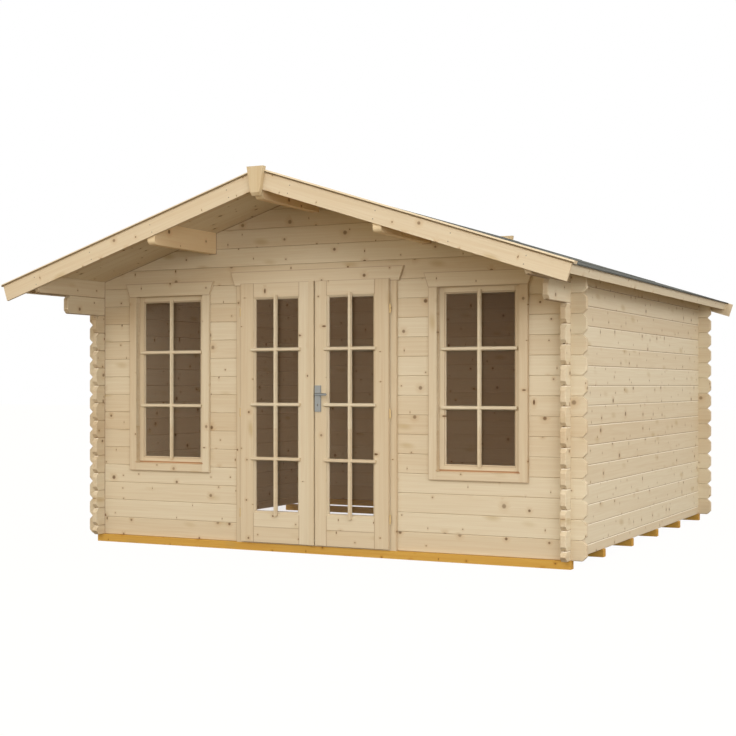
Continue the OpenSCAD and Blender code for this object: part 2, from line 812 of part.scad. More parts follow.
module door_casing() {
    out = door_half + trim_w;
    color(spruce) set_down() difference() {
        union() {
            both_sides() block([door_half, out], [-trim_t, 0], [0, door_clear_h]);
            head_board(0, door_half, door_clear_h + board_joint, door_head_past);
            both_sides() block([door_half, out], [log_t, log_t + inner_trim_t], [0, door_clear_h]);
            block([-out, out], [log_t, log_t + inner_trim_t],
                  [door_clear_h + board_joint, door_clear_h + trim_w]);
        }
        pin_bores();
    }
}

module left_door_leaf() { color(spruce) set_down() mirror([1, 0, 0]) leaf_boards(left_meet); }
module right_door_leaf() {
    color(spruce) set_down() difference() {
        leaf_boards(right_meet);
        translate([plate_x, leaf_face - 1, lever_z]) rotate([-90, 0, 0])
            cylinder(d = spindle_d + 2 * pin_play, h = leaf_back - leaf_face + 2);
    }
}
module left_door_beads() { color(spruce) set_down() mirror([1, 0, 0]) leaf_beads(); }
module right_door_beads() { color(spruce) set_down() leaf_beads(); }
module left_door_glass() { color(clear_glass) set_down() mirror([1, 0, 0]) leaf_pane(); }
module right_door_glass() { color(clear_glass) set_down() leaf_pane(); }

module meeting_strip() {
    color(spruce) set_down()
        block([-left_meet - strip_w, -left_meet], [leaf_face - strip_t, leaf_face], [leaf_foot, leaf_top]);
}

module hinge_pins() {
    color(steel) set_down() both_sides() for (z = hinge_zs) translate([hinge_x, hinge_y, z]) hinge_pin();
}
module left_hinge_sleeves() { color(steel) set_down() mirror([1, 0, 0]) hinge_sleeves(); }
module right_hinge_sleeves() { color(steel) set_down() hinge_sleeves(); }

module handle_plates() {
    color(steel) set_down() {
        translate([0, leaf_face, 0]) mirror([0, 1, 0]) handle_plate();
        translate([0, leaf_back, 0]) handle_plate();
    }
}

module door_lever() {
    color(steel) set_down() {
        translate([plate_x, leaf_face, lever_z]) mirror([0, 1, 0]) lever_half(lever_l);
        translate([plate_x, leaf_back, lever_z]) lever_half(thumb_l);
        translate([plate_x, leaf_face, lever_z]) rotate([-90, 0, 0])
            cylinder(d = spindle_d, h = leaf_back - leaf_face);
    }
}

floor_bearers();
front_wall_even_logs();
front_wall_odd_logs();
back_wall_even_logs();
back_wall_odd_logs();
left_wall_even_logs();
left_wall_odd_logs();
right_wall_even_logs();
right_wall_odd_logs();
ridge_purlin();
side_purlins();
left_roof_boards();
right_roof_boards();
left_roof_felt();
right_roof_felt();
ridge_felt();
eaves_boards();
front_barge_boards();
back_barge_boards();
cap_strips();
keystones();
left_window_frame();
right_window_frame();
left_window_casing();
right_window_casing();
left_window_sash();
right_window_sash();
left_window_beads();
right_window_beads();
left_window_glass();
right_window_glass();
door_frame();
door_casing();
left_door_leaf();
right_door_leaf();
left_door_beads();
right_door_beads();
left_door_glass();
right_door_glass();
meeting_strip();
hinge_pins();
left_hinge_sleeves();
right_hinge_sleeves();
handle_plates();
door_lever();
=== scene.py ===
import bpy
import math
import numpy as np
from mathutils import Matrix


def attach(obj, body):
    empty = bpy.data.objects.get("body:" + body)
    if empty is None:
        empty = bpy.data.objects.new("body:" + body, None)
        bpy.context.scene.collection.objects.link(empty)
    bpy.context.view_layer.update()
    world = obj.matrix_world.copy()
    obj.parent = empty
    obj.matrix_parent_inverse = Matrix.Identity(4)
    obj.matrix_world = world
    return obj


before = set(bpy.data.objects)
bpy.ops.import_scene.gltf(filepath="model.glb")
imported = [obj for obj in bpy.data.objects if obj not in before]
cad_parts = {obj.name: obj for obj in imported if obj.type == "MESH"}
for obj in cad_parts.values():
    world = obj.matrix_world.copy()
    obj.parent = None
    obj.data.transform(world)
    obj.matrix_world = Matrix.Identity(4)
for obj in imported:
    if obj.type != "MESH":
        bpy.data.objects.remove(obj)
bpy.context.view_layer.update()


# Floor bearers: squared timbers of pressure-treated spruce that lie on the ground under the walls.
# The salt leaves them golden yellow, a little greener in the sapwood, and they stay rough-sawn.
ALONG_X, ALONG_Y, UPWARD = (1, 0, 0), (0, 1, 0), (0, 0, 1)

# Knots are about 10 to 30 mm across, as on real spruce, and at most one to a cell of this length and
# width. Spike knots, cut lengthwise, are half as wide and drawn out across the grain.
KNOT_LONG, KNOT_WIDE, SPIKE_WIDE = 0.26, 0.10, 0.042
KNOT_RADIUS, KNOT_GROWTH, KNOT_SKEW = 0.0056, 0.012, 3.0
SPIKE_FROM, SPIKE_SLIM = 0.7, 0.5
KNOT_CORE, KNOT_HALO = (0.5, 1.2), (0.8, 3.6)
KNOT_SPREAD, KNOT_DEPTH = 0.45, 0.55
RING_BEND = 0.022

# Streaks to a metre, along, across and through the board. Real growth rings are 2 to 4 mm apart, too
# fine to show, so the fine streaks are drawn about 16 mm apart and the broad ones 67 mm.
FINE_STREAKS, BROAD_STREAKS = (1.1, 62.0, 40.0), (0.55, 15.0)
RING_TURNS_BROAD, RING_TURNS_FINE = 9.0, 2.0
SMEAR_LONG, SMEAR_WIDE, SMEAR_SLANT = 0.30, 0.12, 0.6
SMEAR_EDGE, SMEAR_DEPTH, SMEAR_SHARE = (0.04, 0.30), 0.42, 0.5
ROW_SEED, BOARD_SHIFT, POST_STEP = 0.37, 29.0, 5.0
TONE_START = -0.20
GRAIN_RELIEF, KNOT_RELIEF = 0.5, 0.3
GRAIN_BUMP = {"Strength": 0.35, "Distance": 0.0012}

# Shadow lines: where each starts to fade and where it ends, its depth and its colour. The real ones are
# 1 to 3 mm wide, too fine to show, so they are drawn about 6, 13 and 10 mm wide.
SEAM_SHADOW = (0.0012, 0.0046, 0.42, "#8a5c2e")
GAP_SHADOW = (0.004, 0.009, 0.75, "#b07a4c")
CORNER_SHADOW = (0.0025, 0.0075, 0.60, "#7d4c22")
# Joints: how dark the painted shade at each V joint is, its bump, and where the painted shade and the painted
# highlight reach full strength.
JOINT_SHADE_DEPTH, JOINT_RELIEF, JOINT_CORE, JOINT_FADE = 0.60, 2.0, 0.2, 0.6
# A face painted dark all over as shade: how squarely it must look the given way, and how dark it gets.
FACE_ON, FACE_SHADE_DEPTH = 0.9, 0.95
FAR_OFF = 9.0


def linear(hex_colour):
    """Turns an sRGB hex colour into the linear RGBA that a shader socket takes."""
    srgb = np.array([int(hex_colour[i:i + 2], 16) for i in (1, 3, 5)]) / 255
    rgb = np.where(srgb <= 0.04045, srgb / 12.92, ((srgb + 0.055) / 1.055) ** 2.4)
    return (*rgb.tolist(), 1.0)


def add(tree, kind, *inputs, links=None, **settings):
    """Adds a node with its settings by name, and its inputs in order or, in links, by socket, each a link
    or a plain value. Returns its outputs."""
    made = tree.nodes.new("ShaderNode" + kind)
    for key, value in settings.items():
        setattr(made, key, value)
    for key, value in [*enumerate(inputs), *(links or {}).items()]:
        if isinstance(value, bpy.types.NodeSocket):
            tree.links.new(value, made.inputs[key])
        else:
            made.inputs[key].default_value = value
    return made.outputs


def new_finish(name):
    """Starts a material; returns it with its node tree and its shader."""
    material = bpy.data.materials.new(name)
    material.use_nodes = True
    tree = material.node_tree
    return material, tree, tree.nodes["Principled BSDF"]


def board_axes(tree, normal, spot, along, across, rows, uprights):
    """Where a point lies on its board: along the grain, across it, through it, the number of its row, and
    how far its face is an end. In uprights the first two change places, because their grain stands up.
    Those lie further than half from a middle line on either side of the house, and below top."""
    through = tuple(np.cross(along, across))
    u, v, w = [add(tree, "VectorMath", spot, way, operation="DOT_PRODUCT")["Value"]
               for way in (along, across, through)]
    facing = add(tree, "VectorMath", normal, along, operation="DOT_PRODUCT")["Value"]
    end = add(tree, "Math", facing, operation="ABSOLUTE")[0]
    lift = add(tree, "Math", v, rows[0], operation="SUBTRACT")[0]
    count = add(tree, "Math", lift, rows[1], operation="DIVIDE")[0]
    row = add(tree, "Math", count, operation="FLOOR")[0]
    if uprights:
        middle, half, top = uprights
        part = add(tree, "SeparateXYZ", spot)
        aside = add(tree, "Math", part[0], operation="ABSOLUTE")[0]
        off = add(tree, "Math", aside, middle, operation="SUBTRACT")[0]
        out = add(tree, "Math", off, operation="ABSOLUTE")[0]
        beyond = add(tree, "Math", out, half, operation="GREATER_THAN")[0]
        below = add(tree, "Math", part[2], top, operation="LESS_THAN")[0]
        upright = add(tree, "Math", beyond, below, operation="MULTIPLY")[0]
        inner = add(tree, "Math", off, operation="SIGN")[0]
        hand = add(tree, "Math", part[0], operation="SIGN")[0]
        post = add(tree, "Math", hand, POST_STEP, inner, operation="MULTIPLY_ADD")[0]
        pairs = ((u, v), (v, u), (row, post), (end, 0.0))
        u, v, row, end = [add(tree, "Mix", links={0: upright, 2: lying, 3: standing})[0]
                          for lying, standing in pairs]
    return u, v, w, row, end


def knot_pattern(tree, run, v, knots):
    """Knots: a cell has one where its chance is below knots. Nearness is the distance to the cell's point
    over the knot's radius, which is the least radius plus a cubed chance times the growth. Returns the
    dark core, the halo of bent rings and a chance for each knot."""
    cell_x = add(tree, "Math", run, KNOT_LONG, operation="DIVIDE")[0]
    cell_y = add(tree, "Math", v, KNOT_WIDE, operation="DIVIDE")[0]
    cell = add(tree, "CombineXYZ", cell_x, cell_y)[0]
    near = add(tree, "TexVoronoi", links={"Vector": cell, "Scale": 1.0}, voronoi_dimensions="2D")
    lot = add(tree, "SeparateColor", near["Color"])
    spike = add(tree, "Math", lot[2], SPIKE_FROM, operation="GREATER_THAN")[0]
    wide = add(tree, "Math", spike, SPIKE_WIDE - KNOT_WIDE, KNOT_WIDE, operation="MULTIPLY_ADD")[0]
    real_size = add(tree, "CombineXYZ", KNOT_LONG, wide)[0]
    offset = add(tree, "VectorMath", cell, near["Position"], operation="SUBTRACT")[0]
    offset = add(tree, "VectorMath", offset, real_size, operation="MULTIPLY")[0]
    away = add(tree, "VectorMath", offset, operation="LENGTH")["Value"]
    growth = add(tree, "Math", lot[1], KNOT_SKEW, operation="POWER")[0]
    radius = add(tree, "Math", growth, KNOT_GROWTH, KNOT_RADIUS, operation="MULTIPLY_ADD")[0]
    slim = add(tree, "Math", spike, -SPIKE_SLIM, 1.0, operation="MULTIPLY_ADD")[0]
    radius = add(tree, "Math", radius, slim, operation="MULTIPLY")[0]
    nearness = add(tree, "Math", away, radius, operation="DIVIDE")[0]
    there = add(tree, "Math", lot[0], knots, operation="LESS_THAN")[0]
    core, halo = [add(tree, "MapRange", nearness, *edge, there, 0.0, interpolation_type="SMOOTHSTEP")[0]
                  for edge in (KNOT_CORE, KNOT_HALO)]
    return core, halo, lot[2]


def joint_shade_and_highlight(tree, place, v, rows, lines, lit, mix, relief):
    """V joints between rows of boards, drawn as light and shade: the lower edge of the upper board gets
    painted shade and, on outside faces, the upper edge of the lower one gets a painted highlight as pale as
    lit. Lines is the share of a row that each edge takes. On the side walls that is 7 mm, where a real edge
    is about 3 mm, so that it shows."""
    lift = add(tree, "Math", v, rows[0], operation="SUBTRACT")[0]
    count = add(tree, "Math", lift, rows[1], operation="DIVIDE")[0]
    step = add(tree, "Math", count, operation="FRACT")[0]
    # Painted shade along the lower edge of the upper board, where the V looks down.
    shade = add(tree, "MapRange", step, lines * JOINT_CORE, lines, 1.0, 0.0,
                interpolation_type="SMOOTHSTEP")[0]
    dark = add(tree, "Math", shade, JOINT_SHADE_DEPTH, operation="MULTIPLY")[0]
    mix = add(tree, "Mix", links={0: dark, 6: mix, 7: linear("#805a2e")}, data_type="RGBA")[2]
    # Painted highlight along the upper edge of the lower board, where the V looks up, on faces that look
    # outwards only.
    level = add(tree, "VectorMath", place["Object"], (1, 1, 0), operation="MULTIPLY")[0]
    outward = add(tree, "VectorMath", place["Normal"], level, operation="DOT_PRODUCT")["Value"]
    outside = add(tree, "Math", outward, 0.0, operation="GREATER_THAN")[0]
    most = add(tree, "Math", outside, lit, operation="MULTIPLY")[0]
    shine = add(tree, "MapRange", step, 1.0 - lines, 1.0 - lines * JOINT_FADE, 0.0, most,
                interpolation_type="SMOOTHSTEP")[0]
    mix = add(tree, "Mix", links={0: shine, 6: mix, 7: linear("#fbf4e4")}, data_type="RGBA")[2]
    relief = add(tree, "Math", shade, -JOINT_RELIEF, relief, operation="MULTIPLY_ADD")[0]
    return mix, relief


def contact_shadow_lines(tree, place, marks, near, far, depth, colour, mix):
    """Shadow lines where pieces touch. A mark is a straight line between two points, each a distance from
    the middle of the house and a height. The shade falls off with the distance to the nearest mark, and
    shows on faces to the front and back."""
    flat = add(tree, "VectorMath", place["Object"], (1, 0, 1), operation="MULTIPLY")[0]
    flat = add(tree, "VectorMath", flat, operation="ABSOLUTE")[0]
    nearest = FAR_OFF
    for mark in marks:
        start, stop = [np.array((x, 0, z)) for x, z in mark]
        way = stop - start
        reach = add(tree, "VectorMath", flat, tuple(start), operation="SUBTRACT")[0]
        slope = tuple(way / np.dot(way, way))
        share = add(tree, "VectorMath", reach, slope, operation="DOT_PRODUCT")["Value"]
        share = add(tree, "Clamp", share)[0]
        foot = add(tree, "VectorMath", tuple(way), links={"Scale": share}, operation="SCALE")[0]
        away = add(tree, "VectorMath", reach, foot, operation="DISTANCE")["Value"]
        nearest = add(tree, "Math", away, nearest, operation="MINIMUM")[0]
    shade = add(tree, "MapRange", nearest, near, far, depth, 0.0, interpolation_type="SMOOTHSTEP")[0]
    facing = add(tree, "VectorMath", place["Normal"], ALONG_Y, operation="DOT_PRODUCT")["Value"]
    facing = add(tree, "Math", facing, operation="ABSOLUTE")[0]
    shade = add(tree, "Math", shade, facing, operation="MULTIPLY")[0]
    return add(tree, "Mix", links={0: shade, 6: mix, 7: linear(colour)}, data_type="RGBA")[2]


def spruce(name, colours, along, across, rows, mirrored=False, uprights=None, lines=0.0, lit=0.0,
           end_tone=0.22, knots=0.75, seam_shadows=(), gap_shadows=(), corners=(), painted_shade_face=None, rough=0.62):
    """Softwood from pale to honey. Streaks of growth rings run along the grain, each row of boards is shifted
    and toned by its own chance, the rings bend round knots, and a few soft smears lie between them. Rows are
    where the first row of boards starts and how wide a row is. On top are drawn painted shade and painted
    highlights at the joints, painted shadow lines where pieces touch, and painted shade over a whole face."""
    material, tree, shader = new_finish(name)
    place = add(tree, "TexCoord")
    spot = place["Object"]
    if mirrored:
        spot = add(tree, "VectorMath", spot, operation="ABSOLUTE")[0]
    u, v, w, row, end = board_axes(tree, place["Normal"], spot, along, across, rows, uprights)
    row = add(tree, "Math", row, ROW_SEED, operation="ADD")[0]
    chance = add(tree, "TexWhiteNoise", links={"W": row}, noise_dimensions="1D")
    luck = add(tree, "SeparateColor", chance["Color"])
    run = add(tree, "Math", luck[0], BOARD_SHIFT, u, operation="MULTIPLY_ADD")[0]
    core, halo, knot_luck = knot_pattern(tree, run, v, knots)

    bent = add(tree, "Math", halo, RING_BEND, v, operation="MULTIPLY_ADD")[0]
    drawn = [add(tree, "Math", way, count, operation="MULTIPLY")[0]
             for way, count in zip((run, bent, w), FINE_STREAKS)]
    streak = add(tree, "CombineXYZ", *drawn)[0]
    fine = add(tree, "TexNoise", links={"Vector": streak, "Scale": 1.0, "Detail": 3.0, "Roughness": 0.6})[0]
    drawn = [add(tree, "Math", way, count, operation="MULTIPLY")[0]
             for way, count in zip((run, bent), BROAD_STREAKS)]
    flow = add(tree, "CombineXYZ", *drawn, luck[1])[0]
    broad = add(tree, "TexNoise", links={"Vector": flow, "Scale": 1.0, "Detail": 2.0, "Roughness": 0.5})[0]
    turns = add(tree, "Math", fine, RING_TURNS_FINE, operation="MULTIPLY")[0]
    turns = add(tree, "Math", broad, RING_TURNS_BROAD, turns, operation="MULTIPLY_ADD")[0]
    angle = add(tree, "Math", turns, math.tau, operation="MULTIPLY")[0]
    rings = add(tree, "Math", angle, operation="SINE")[0]
    tone = TONE_START
    for part, weight in ((broad, 0.28), (fine, 0.52), (rings, 0.05),
                         (luck[2], 0.40), (end, end_tone), (halo, 0.30)):
        tone = add(tree, "Math", part, weight, tone, operation="MULTIPLY_ADD")[0]
    pale, honey = colours
    mix = add(tree, "Mix", links={0: tone, 6: linear(pale), 7: linear(honey)}, data_type="RGBA")[2]

    slant = add(tree, "Math", v, SMEAR_SLANT, run, operation="MULTIPLY_ADD")[0]
    patch_x = add(tree, "Math", slant, SMEAR_LONG, operation="DIVIDE")[0]
    patch_y = add(tree, "Math", v, SMEAR_WIDE, operation="DIVIDE")[0]
    patch = add(tree, "CombineXYZ", patch_x, patch_y, luck[1])[0]
    smear = add(tree, "TexVoronoi", links={"Vector": patch, "Scale": 1.0}, voronoi_dimensions="3D")
    smear_luck = add(tree, "SeparateColor", smear["Color"])[0]
    there = add(tree, "Math", smear_luck, knots * SMEAR_SHARE, operation="LESS_THAN")[0]
    stain = add(tree, "MapRange", smear["Distance"], *SMEAR_EDGE, SMEAR_DEPTH, 0.0,
                interpolation_type="SMOOTHSTEP")[0]
    stain = add(tree, "Math", stain, there, operation="MULTIPLY")[0]
    mix = add(tree, "Mix", links={0: stain, 6: mix, 7: linear("#b59a5e")}, data_type="RGBA")[2]
    dark = add(tree, "Math", knot_luck, KNOT_SPREAD, KNOT_DEPTH, operation="MULTIPLY_ADD")[0]
    dark = add(tree, "Math", core, dark, operation="MULTIPLY")[0]
    mix = add(tree, "Mix", links={0: dark, 6: mix, 7: linear("#62411f")}, data_type="RGBA")[2]

    relief = add(tree, "Math", fine, GRAIN_RELIEF, operation="MULTIPLY")[0]
    relief = add(tree, "Math", core, -KNOT_RELIEF, relief, operation="MULTIPLY_ADD")[0]
    if lines:
        mix, relief = joint_shade_and_highlight(tree, place, v, rows, lines, lit, mix, relief)
    # Painted shadow lines along the seams, gaps and corners where pieces touch.
    for marks, style in ((seam_shadows, SEAM_SHADOW), (gap_shadows, GAP_SHADOW), (corners, CORNER_SHADOW)):
        if marks:
            mix = contact_shadow_lines(tree, place, marks, *style, mix)
    # Painted shade: faces that look the given way are darkened all over, standing in for a shadow.
    if painted_shade_face:
        facing = add(tree, "VectorMath", place["Normal"], painted_shade_face, operation="DOT_PRODUCT")["Value"]
        facing = add(tree, "Math", facing, operation="ABSOLUTE")[0]
        face = add(tree, "Math", facing, FACE_ON, operation="GREATER_THAN")[0]
        face = add(tree, "Math", face, FACE_SHADE_DEPTH, operation="MULTIPLY")[0]
        mix = add(tree, "Mix", links={0: face, 6: mix, 7: linear("#604e30")}, data_type="RGBA")[2]
    tree.links.new(mix, shader.inputs["Base Color"])
    bump = add(tree, "Bump", links={"Height": relief, **GRAIN_BUMP})[0]
    tree.links.new(bump, shader.inputs["Normal"])
    shader.inputs["Roughness"].default_value = rough
    shader.inputs["Specular IOR Level"].default_value = 0.3
    return material


def dress(material, *nodes):
    """Gives CAD nodes their one material."""
    for node in nodes:
        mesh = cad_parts[node].data
        mesh.materials.clear()
        mesh.materials.append(material)


treated = ("#e3bd62", "#c08a34")
treated_spruce = spruce("treated_spruce", treated, ALONG_X, UPWARD, (0.0, 0.5), knots=0.9, rough=0.75)
dress(treated_spruce, "floor_bearers")


# Walls: tongued logs of planed spruce, notched into each other at the corners and left unfinished.
# The wood is pale cream with faint growth rings and small brown knots, and each log has its own tone.
# Thin shadow lines show where casings, purlins, roof and side walls meet the front and back.
BARE = ("#e7dfc9", "#cdb694")
BEARER_H = 0.056
COURSE = 0.1355
COURSES = 13.5
WALL_HALF, LOG_T = 1.9, 0.04
PLATE_RISE = 0.117
PITCH = math.radians(18)
APEX = COURSES * COURSE + PLATE_RISE + WALL_HALF * math.tan(PITCH)
WINDOW_X, WINDOW_HALF, WINDOW_FOOT, WINDOW_HEAD = 1.250, 0.298, 0.560, 1.831
DOOR_HALF, DOOR_HEAD = 0.588, 1.889
TRIM, APRON, HEAD_H = 0.062, 0.055, 0.100
WINDOW_FLARE, DOOR_HEAD_HALF, DOOR_FLARE = 0.035, 0.668, 0.033
PURLIN_IN, PURLIN_OUT, PURLIN_DROP = 0.84, 0.90, 0.155


def deck_under(x):
    """Height of the roof boards' underside above the bearers, x from the middle of the house."""
    return APEX - x * math.tan(PITCH)


def outline(*corners):
    """Lines from corner to corner, each corner lifted from the bearers' top to the part's frame."""
    lifted = [(x, z + BEARER_H) for x, z in corners]
    return list(zip(lifted[:-1], lifted[1:]))


# Lines where painted shadow falls: round the window casings, along the door casing and round the roof's and
# purlins' edges.
left, right = WINDOW_X - WINDOW_HALF - TRIM, WINDOW_X + WINDOW_HALF + TRIM
low, top = WINDOW_FOOT - APRON, WINDOW_HEAD + HEAD_H
window_seam_shadows = outline((left, WINDOW_HEAD), (left, low), (right, low), (right, WINDOW_HEAD))
window_seam_shadows += outline((left, WINDOW_HEAD), (left - WINDOW_FLARE, top), (right + WINDOW_FLARE, top),
                        (right, WINDOW_HEAD), (left, WINDOW_HEAD))
door_seam_shadows = outline((DOOR_HALF + TRIM, 0), (DOOR_HALF + TRIM, DOOR_HEAD))
door_seam_shadows += outline((0, DOOR_HEAD), (DOOR_HEAD_HALF, DOOR_HEAD),
                      (DOOR_HEAD_HALF + DOOR_FLARE, DOOR_HEAD + HEAD_H), (0, DOOR_HEAD + HEAD_H))
room_half = WALL_HALF - LOG_T
purlin_foot = deck_under(PURLIN_IN) - PURLIN_DROP
roof_seam_shadows = outline((0, APEX), (room_half, deck_under(room_half)), (room_half, 0))
roof_seam_shadows += outline((PURLIN_IN, deck_under(PURLIN_IN)), (PURLIN_IN, purlin_foot),
                      (PURLIN_OUT, purlin_foot), (PURLIN_OUT, deck_under(PURLIN_OUT)))
end_rows, side_rows = (BEARER_H, COURSE), (BEARER_H - COURSE / 2, COURSE)
# Each V joint between logs gets painted shade on the upper log's lower edge and a painted highlight on the
# lower log's upper edge; the side walls' highlights are the palest.
front_spruce = spruce("planed_spruce_front_log", BARE, ALONG_X, UPWARD, end_rows, lines=0.022, lit=0.2,
                      seam_shadows=window_seam_shadows + door_seam_shadows, corners=roof_seam_shadows)
dress(front_spruce, "front_wall_even_logs", "front_wall_odd_logs")
back_spruce = spruce("planed_spruce_back_log", BARE, ALONG_X, UPWARD, end_rows, lines=0.022, lit=0.2,
                     corners=roof_seam_shadows)
dress(back_spruce, "back_wall_even_logs", "back_wall_odd_logs")
side_spruce = spruce("planed_spruce_along_y", BARE, ALONG_Y, UPWARD, side_rows, lines=0.055, lit=0.75,
                     knots=0.95)
dress(side_spruce, "left_wall_even_logs", "left_wall_odd_logs", "right_wall_even_logs", "right_wall_odd_logs")


# Purlins: three deep spruce beams along the house that carry the roof boards between the gables.
# They are warmer than the logs, and their planed ends are pale.
purlin = ("#f2dfba", "#e0ba8b")
purlin_spruce = spruce("planed_spruce_purlin", purlin, ALONG_Y, UPWARD, (0.0, 0.6), end_tone=-0.8)
dress(purlin_spruce, "ridge_purlin", "side_purlins")


# Roof boards: tongued spruce boards nailed across the purlins from ridge to eaves, with a V between
# neighbours. Only their undersides show, so the boards, with painted shade in each V, are drawn on the slabs
# at their real width.
DOWN = (math.cos(PITCH), 0, -math.sin(PITCH))
ROOF_BOARD = 0.094
roof_board_spruce = spruce("planed_spruce_roof_board", BARE, DOWN, ALONG_Y, (0.0, ROOF_BOARD),
                           mirrored=True, lines=0.015)
dress(roof_board_spruce, "left_roof_boards", "right_roof_boards")


# Eaves boards, barge boards, cap strips and keystones: planed spruce boards nailed round the roof's rim.
# The cap strips' front faces are painted dark as shade, standing in for the shadow line along the barge
# boards' top, and the keystones are a little greyer than the rest.
UP = (math.sin(PITCH), 0, math.cos(PITCH))
ONE_ROW, BROAD_ROWS = (0.0, 9.0), (0.0, 0.9)
eaves_spruce = spruce("planed_spruce_eaves", BARE, ALONG_Y, UPWARD, BROAD_ROWS)
dress(eaves_spruce, "eaves_boards")
verge_spruce = spruce("planed_spruce_verge", BARE, DOWN, UP, ONE_ROW, mirrored=True)
dress(verge_spruce, "front_barge_boards", "back_barge_boards")
cap_spruce = spruce("planed_spruce_cap_strip", BARE, DOWN, UP, ONE_ROW, mirrored=True, knots=0.0,
                    painted_shade_face=ALONG_Y)
dress(cap_spruce, "cap_strips")
keystone = ("#ddd1b4", "#c4aa80")
keystone_spruce = spruce("planed_spruce_keystone", keystone, UPWARD, ALONG_X, (-0.2, 0.9), knots=0.15)
dress(keystone_spruce, "keystones")


# Nails in the barge boards: zinc-coated steel in pairs, driven flush where the purlins and wall plates
# are. The zinc has dulled to a warm grey.
MIDDLE_Y = 1.5695
HEAD_SIDES, HEAD_TAPER, HEAD_SINK = 12, 0.8, 0.0003
ASKEW = (0.3, 0.5, 0.8)
SCRATCHES, SCRATCH_RANGE, STEEL_ROUGH = (900.0, 900.0, 60.0), (0.3, 0.7), (0.34, 0.50)
FRONT_BARGE_Y, BACK_BARGE_Y = -0.821, 3.960
BARGE_NAIL = (0.0040, 0.0006)


def piece(name, points, faces, material, body, slot):
    """Makes one mesh of points and faces, gives it its finish, and lets it ride on a body."""
    mesh = bpy.data.meshes.new(name)
    mesh.from_pydata(np.asarray(points, float).reshape(-1, 3).tolist(), [], faces)
    mesh.materials.append(material)
    made = bpy.data.objects.new(name, mesh)
    bpy.context.scene.collection.objects.link(made)
    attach(made, body)
    return made


def strip_faces(rows, columns, first=0, closed=False):
    """Quads between neighbouring points of a grid that is stored row by row."""
    grid = first + np.arange(rows * columns).reshape(rows, columns)
    if closed:
        grid = np.concatenate([grid, grid[:, :1]], axis=1)
    quads = np.stack([grid[:-1, :-1], grid[:-1, 1:], grid[1:, 1:], grid[1:, :-1]], -1)
    return quads.reshape(-1, 4).tolist()


def on_slope(s, n, y, side):
    """Points s down the slope and n above the boards' underside, at y, on the right (1) or left (-1)."""
    x = s * math.cos(PITCH) + n * math.sin(PITCH)
    z = BEARER_H + APEX - s * math.sin(PITCH) + n * math.cos(PITCH)
    return np.stack(np.broadcast_arrays(side * x, y, z), -1)


def satin_steel(name, low, high):
    """Fine scratches along the grain of the metal change its roughness and its tone a little. They are
    about 1 mm apart and 17 mm long, coarser than real ones, so that they show."""
    material, tree, shader = new_finish(name)
    spot = add(tree, "TexCoord")["Object"]
    drawn = add(tree, "Mapping", spot, links={"Scale": SCRATCHES})[0]
    scratch = add(tree, "TexNoise", links={"Vector": drawn, "Scale": 1.0, "Detail": 2.0})[0]
    rough = add(tree, "MapRange", scratch, *SCRATCH_RANGE, *STEEL_ROUGH)[0]
    mix = add(tree, "Mix", links={0: scratch, 6: linear(low), 7: linear(high)}, data_type="RGBA")[2]
    tree.links.new(mix, shader.inputs["Base Color"])
    tree.links.new(rough, shader.inputs["Roughness"])
    shader.inputs["Metallic"].default_value = 0.8
    return material


def heads(spots, out, radius, height):
    """Flat round heads, each a short cone from its full radius at the surface to four fifths on top."""
    out = np.array(out, float) / np.linalg.norm(out)
    wide = np.cross(out, ASKEW)
    wide /= np.linalg.norm(wide)
    turn = np.linspace(0, math.tau, HEAD_SIDES, endpoint=False)[:, None]
    ring = np.cos(turn) * wide + np.sin(turn) * np.cross(out, wide)
    points, faces = [], []
    for index, spot in enumerate(spots):
        foot = 2 * HEAD_SIDES * index
        brim = foot + HEAD_SIDES
        points += [spot - HEAD_SINK * out + radius * ring, spot + height * out + HEAD_TAPER * radius * ring]
        faces += strip_faces(2, HEAD_SIDES, foot, closed=True)
        faces += [list(range(foot, brim))[::-1], list(range(brim, brim + HEAD_SIDES))]
    return np.concatenate(points), faces


zinc = satin_steel("zinc_coated_steel", "#6d675d", "#8b857a")
nail_s, nail_n = np.array([0.26, 0.915, 1.46, 1.98]), np.array([-0.066, -0.012])
for name, y, out in (("front_barge_nails", FRONT_BARGE_Y, (0, -1, 0)),
                     ("back_barge_nails", BACK_BARGE_Y, (0, 1, 0))):
    spots = [on_slope(nail_s[:, None], nail_n[None, :], y - MIDDLE_Y, side) for side in (-1, 1)]
    spots = np.concatenate(spots).reshape(-1, 3)
    piece(name, *heads(spots, out, *BARGE_NAIL), zinc, "cabin", "grey_steel")


# Roofing felt: bitumen sheets with slate-grey mineral grit, rolled out along the house from the eaves up,
# each lapped by the one above and held by clout nails along its lower edge.
FELT_N = 0.023
FELT_TOP, LAPS = 0.10, (0.80, 1.53, 2.2305)
FELT_FRONT, FELT_BACK, FELT_STEPS = -0.760, 3.937, 61
GRIT, WASH, WASH_SHARE, FELT_RANGE = 260.0, 2.2, 0.55, (0.45, 1.1)
LAP_SLOPE, LAP_RISE = 0.06, (0.0002, 0.0020, 0.0030, 0.0001)
SWAYS = ((0.0008, 5.1, 9), (0.0006, 13.7, 4))
SHEET_TONES, BLEED_OFF, BLEED = (0.12, -0.20), 0.004, (0.003, 0.008, 0.8)
CLOUTS, CLOUT_FRONT, CLOUT_BACK = 48, -0.72, 3.92
CLOUT_UP, CLOUT_TOP, CLOUT_SEAT, CLOUT_TOP_SEAT = 0.018, 0.134, 0.0027, 0.0031
CLOUT = (0.0050, 0.0008)


